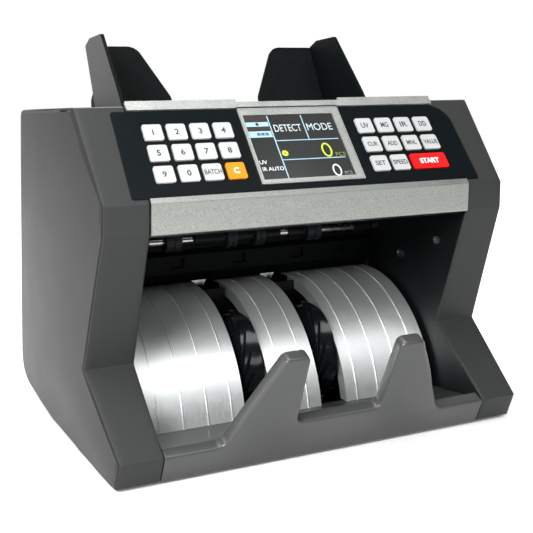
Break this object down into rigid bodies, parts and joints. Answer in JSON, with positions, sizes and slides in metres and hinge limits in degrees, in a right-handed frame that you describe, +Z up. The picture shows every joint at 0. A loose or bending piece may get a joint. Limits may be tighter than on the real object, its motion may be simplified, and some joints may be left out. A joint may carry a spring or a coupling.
{
  "type": "banknote counting machine",
  "caption": "Desktop banknote counter with top hopper and sliding guides, sloped keypad and display, impeller wheels and an open front stacker with curved plates.",
  "frame": {"origin": "on the table under the middle of the machine's box, at the bottom of the rubber feet", "axes": "+X to the right seen from the front, +Y to the rear, +Z up; the front faces -Y"},
  "size_m": [0.3146, 0.2986, 0.2896],
  "materials": {
    "panel_grey": "fine satin moulded texture",
    "cheek_grey": "fine satin moulded texture",
    "black_plastic": "moulded",
    "gloss_black": "glossy",
    "membrane": "printed membrane",
    "key_white": "smooth",
    "key_orange": "smooth",
    "key_red": "smooth",
    "screen": null,
    "brushed_trim": "fine brushed",
    "plate_steel": "brushed along the arc",
    "shaft_steel": "ground",
    "frame_steel": "zinc plated sheet",
    "roller_rubber": "matt",
    "foot_rubber": "matt",
    "board_green": "solder mask",
    "screw_steel": "zinc plated"
  },
  "bodies": {
    "chassis": {"base_plate": "black_plastic", "left_side_panel": "panel_grey", "right_side_panel": "panel_grey", "left_front_cheek": "cheek_grey", "right_front_cheek": "cheek_grey", "stacker_front_bar": "cheek_grey", "control_panel_housing": "black_plastic", "keypad_membrane": "membrane", "display_bezel": "brushed_trim", "display_module": "screen", "top_trim": "brushed_trim", "front_lip_trim": "brushed_trim", "stacker_plate_left": "plate_steel", "stacker_plate_middle": "plate_steel", "stacker_plate_right": "plate_steel", "rear_cover": "panel_grey", "hopper_deck": "black_plastic", "note_path_guide": "black_plastic", "left_inner_frame": "frame_steel", "right_inner_frame": "frame_steel", "shaft_bearings": "shaft_steel", "drive_motor": "frame_steel", "drive_belts": "roller_rubber", "circuit_boards": "board_green", "power_inlet": "black_plastic", "rubber_feet": "foot_rubber", "panel_screws": "screw_steel"},
    "left_guide": {"left_guide": "black_plastic"},
    "right_guide": {"right_guide": "black_plastic"},
    "feed_rotor": {"feed_shaft": "shaft_steel", "feed_rollers": "roller_rubber"},
    "transport_rotor": {"transport_shaft": "shaft_steel", "transport_rollers": "roller_rubber"},
    "stacker_rotor": {"stacker_shaft": "shaft_steel", "impeller_wheels": "gloss_black"},
    "motor_rotor": {"motor_pulley": "shaft_steel"},
    "switch_rocker": {"power_switch": "gloss_black"},
    "key_1_cap": {"key_1": "key_white"},
    "key_2_cap": {"key_2": "key_white"},
    "key_3_cap": {"key_3": "key_white"},
    "key_4_cap": {"key_4": "key_white"},
    "key_5_cap": {"key_5": "key_white"},
    "key_6_cap": {"key_6": "key_white"},
    "key_7_cap": {"key_7": "key_white"},
    "key_8_cap": {"key_8": "key_white"},
    "key_9_cap": {"key_9": "key_white"},
    "key_0_cap": {"key_0": "key_white"},
    "key_batch_cap": {"key_batch": "key_white"},
    "key_clear_cap": {"key_clear": "key_orange"},
    "key_uv_cap": {"key_uv": "key_white"},
    "key_mg_cap": {"key_mg": "key_white"},
    "key_ir_cap": {"key_ir": "key_white"},
    "key_dd_cap": {"key_dd": "key_white"},
    "key_currency_cap": {"key_currency": "key_white"},
    "key_add_cap": {"key_add": "key_white"},
    "key_manual_cap": {"key_manual": "key_white"},
    "key_value_cap": {"key_value": "key_white"},
    "key_set_cap": {"key_set": "key_white"},
    "key_speed_cap": {"key_speed": "key_white"},
    "key_start_cap": {"key_start": "key_red"}
  },
  "joints": [
    {"name": "right_guide_slide", "type": "slide", "parent": "chassis", "child": "right_guide", "axis": [1, 0, 0], "range_m": [-0.033, 0.009]},
    {"name": "left_guide_slide", "type": "slide", "parent": "chassis", "child": "left_guide", "axis": [1, 0, 0], "range_m": [-0.009, 0.033]},
    {"name": "stacker_spin", "type": "hinge", "parent": "chassis", "child": "stacker_rotor", "pos_m": [0, -0.02267, 0.046], "axis": [1, 0, 0], "continuous": true},
    {"name": "transport_spin", "type": "hinge", "parent": "chassis", "child": "transport_rotor", "pos_m": [0, 0.02333, 0.131], "axis": [1, 0, 0], "continuous": true},
    {"name": "feed_spin", "type": "hinge", "parent": "chassis", "child": "feed_rotor", "pos_m": [0, 0.01333, 0.183], "axis": [1, 0, 0], "continuous": true},
    {"name": "motor_spin", "type": "hinge", "parent": "chassis", "child": "motor_rotor", "pos_m": [0, 0.08733, 0.12], "axis": [1, 0, 0], "continuous": true},
    {"name": "power_switch_rock", "type": "hinge", "parent": "chassis", "child": "switch_rocker", "pos_m": [-0.104, 0.13705, 0.07453], "axis": [1, 0, 0], "range_deg": [0, 14]},
    {"name": "key_1_press", "type": "slide", "parent": "chassis", "child": "key_1_cap", "axis": [0, 0.7897, -0.6135], "range_m": [0, 0.0008], "stiffness_N_per_m": 400, "springref_m": -0.001},
    {"name": "key_2_press", "type": "slide", "parent": "chassis", "child": "key_2_cap", "axis": [0, 0.7897, -0.6135], "range_m": [0, 0.0008], "stiffness_N_per_m": 400, "springref_m": -0.001},
    {"name": "key_3_press", "type": "slide", "parent": "chassis", "child": "key_3_cap", "axis": [0, 0.7897, -0.6135], "range_m": [0, 0.0008], "stiffness_N_per_m": 400, "springref_m": -0.001},
    {"name": "key_4_press", "type": "slide", "parent": "chassis", "child": "key_4_cap", "axis": [0, 0.7897, -0.6135], "range_m": [0, 0.0008], "stiffness_N_per_m": 400, "springref_m": -0.001},
    {"name": "key_5_press", "type": "slide", "parent": "chassis", "child": "key_5_cap", "axis": [0, 0.7897, -0.6135], "range_m": [0, 0.0008], "stiffness_N_per_m": 400, "springref_m": -0.001},
    {"name": "key_6_press", "type": "slide", "parent": "chassis", "child": "key_6_cap", "axis": [0, 0.7897, -0.6135], "range_m": [0, 0.0008], "stiffness_N_per_m": 400, "springref_m": -0.001},
    {"name": "key_7_press", "type": "slide", "parent": "chassis", "child": "key_7_cap", "axis": [0, 0.7897, -0.6135], "range_m": [0, 0.0008], "stiffness_N_per_m": 400, "springref_m": -0.001},
    {"name": "key_8_press", "type": "slide", "parent": "chassis", "child": "key_8_cap", "axis": [0, 0.7897, -0.6135], "range_m": [0, 0.0008], "stiffness_N_per_m": 400, "springref_m": -0.001},
    {"name": "key_9_press", "type": "slide", "parent": "chassis", "child": "key_9_cap", "axis": [0, 0.7897, -0.6135], "range_m": [0, 0.0008], "stiffness_N_per_m": 400, "springref_m": -0.001},
    {"name": "key_0_press", "type": "slide", "parent": "chassis", "child": "key_0_cap", "axis": [0, 0.7897, -0.6135], "range_m": [0, 0.0008], "stiffness_N_per_m": 400, "springref_m": -0.001},
    {"name": "key_batch_press", "type": "slide", "parent": "chassis", "child": "key_batch_cap", "axis": [0, 0.7897, -0.6135], "range_m": [0, 0.0008], "stiffness_N_per_m": 400, "springref_m": -0.001},
    {"name": "key_clear_press", "type": "slide", "parent": "chassis", "child": "key_clear_cap", "axis": [0, 0.7897, -0.6135], "range_m": [0, 0.0008], "stiffness_N_per_m": 400, "springref_m": -0.001},
    {"name": "key_uv_press", "type": "slide", "parent": "chassis", "child": "key_uv_cap", "axis": [0, 0.7897, -0.6135], "range_m": [0, 0.0008], "stiffness_N_per_m": 400, "springref_m": -0.001},
    {"name": "key_mg_press", "type": "slide", "parent": "chassis", "child": "key_mg_cap", "axis": [0, 0.7897, -0.6135], "range_m": [0, 0.0008], "stiffness_N_per_m": 400, "springref_m": -0.001},
    {"name": "key_ir_press", "type": "slide", "parent": "chassis", "child": "key_ir_cap", "axis": [0, 0.7897, -0.6135], "range_m": [0, 0.0008], "stiffness_N_per_m": 400, "springref_m": -0.001},
    {"name": "key_dd_press", "type": "slide", "parent": "chassis", "child": "key_dd_cap", "axis": [0, 0.7897, -0.6135], "range_m": [0, 0.0008], "stiffness_N_per_m": 400, "springref_m": -0.001},
    {"name": "key_currency_press", "type": "slide", "parent": "chassis", "child": "key_currency_cap", "axis": [0, 0.7897, -0.6135], "range_m": [0, 0.0008], "stiffness_N_per_m": 400, "springref_m": -0.001},
    {"name": "key_add_press", "type": "slide", "parent": "chassis", "child": "key_add_cap", "axis": [0, 0.7897, -0.6135], "range_m": [0, 0.0008], "stiffness_N_per_m": 400, "springref_m": -0.001},
    {"name": "key_manual_press", "type": "slide", "parent": "chassis", "child": "key_manual_cap", "axis": [0, 0.7897, -0.6135], "range_m": [0, 0.0008], "stiffness_N_per_m": 400, "springref_m": -0.001},
    {"name": "key_value_press", "type": "slide", "parent": "chassis", "child": "key_value_cap", "axis": [0, 0.7897, -0.6135], "range_m": [0, 0.0008], "stiffness_N_per_m": 400, "springref_m": -0.001},
    {"name": "key_set_press", "type": "slide", "parent": "chassis", "child": "key_set_cap", "axis": [0, 0.7897, -0.6135], "range_m": [0, 0.0008], "stiffness_N_per_m": 400, "springref_m": -0.001},
    {"name": "key_speed_press", "type": "slide", "parent": "chassis", "child": "key_speed_cap", "axis": [0, 0.7897, -0.6135], "range_m": [0, 0.0008], "stiffness_N_per_m": 400, "springref_m": -0.001},
    {"name": "key_start_press", "type": "slide", "parent": "chassis", "child": "key_start_cap", "axis": [0, 0.7897, -0.6135], "range_m": [0, 0.0008], "stiffness_N_per_m": 400, "springref_m": -0.001}
  ],
  "couplings": [
    {"joint": "left_guide_slide", "follows": "right_guide_slide", "ratio": -1},
    {"joint": "transport_spin", "follows": "stacker_spin", "ratio": 2},
    {"joint": "feed_spin", "follows": "stacker_spin", "ratio": 1.3333},
    {"joint": "motor_spin", "follows": "stacker_spin", "ratio": 2.6667}
  ]
}
